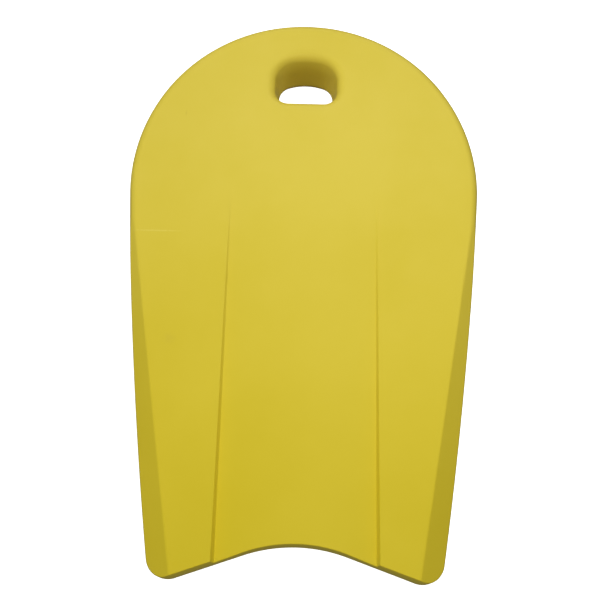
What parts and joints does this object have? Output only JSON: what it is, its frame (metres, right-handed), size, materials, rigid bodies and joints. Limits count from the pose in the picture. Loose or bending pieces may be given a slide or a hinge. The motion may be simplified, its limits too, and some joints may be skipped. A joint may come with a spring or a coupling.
{
  "type": "kickboard float",
  "caption": "Foam kickboard with a round nose, a hand slot, bevelled rails, a channelled front face and a notched tail.",
  "frame": {"origin": "middle of the length and width of the board, on the plane of its flat back face", "axes": "+Y along the board towards the round nose, +Z out of the channelled front face, +X across it to the right as seen from the front with the nose up"},
  "size_m": [0.2966, 0.48, 0.038],
  "materials": {
    "core_foam": "open-cut closed-cell foam",
    "front_skin": "smooth satin moulded foam skin",
    "back_skin": "smooth satin moulded foam skin"
  },
  "bodies": {
    "root": {"foam_core": "core_foam", "front_skin": "front_skin", "back_skin": "back_skin"}
  },
  "joints": []
}
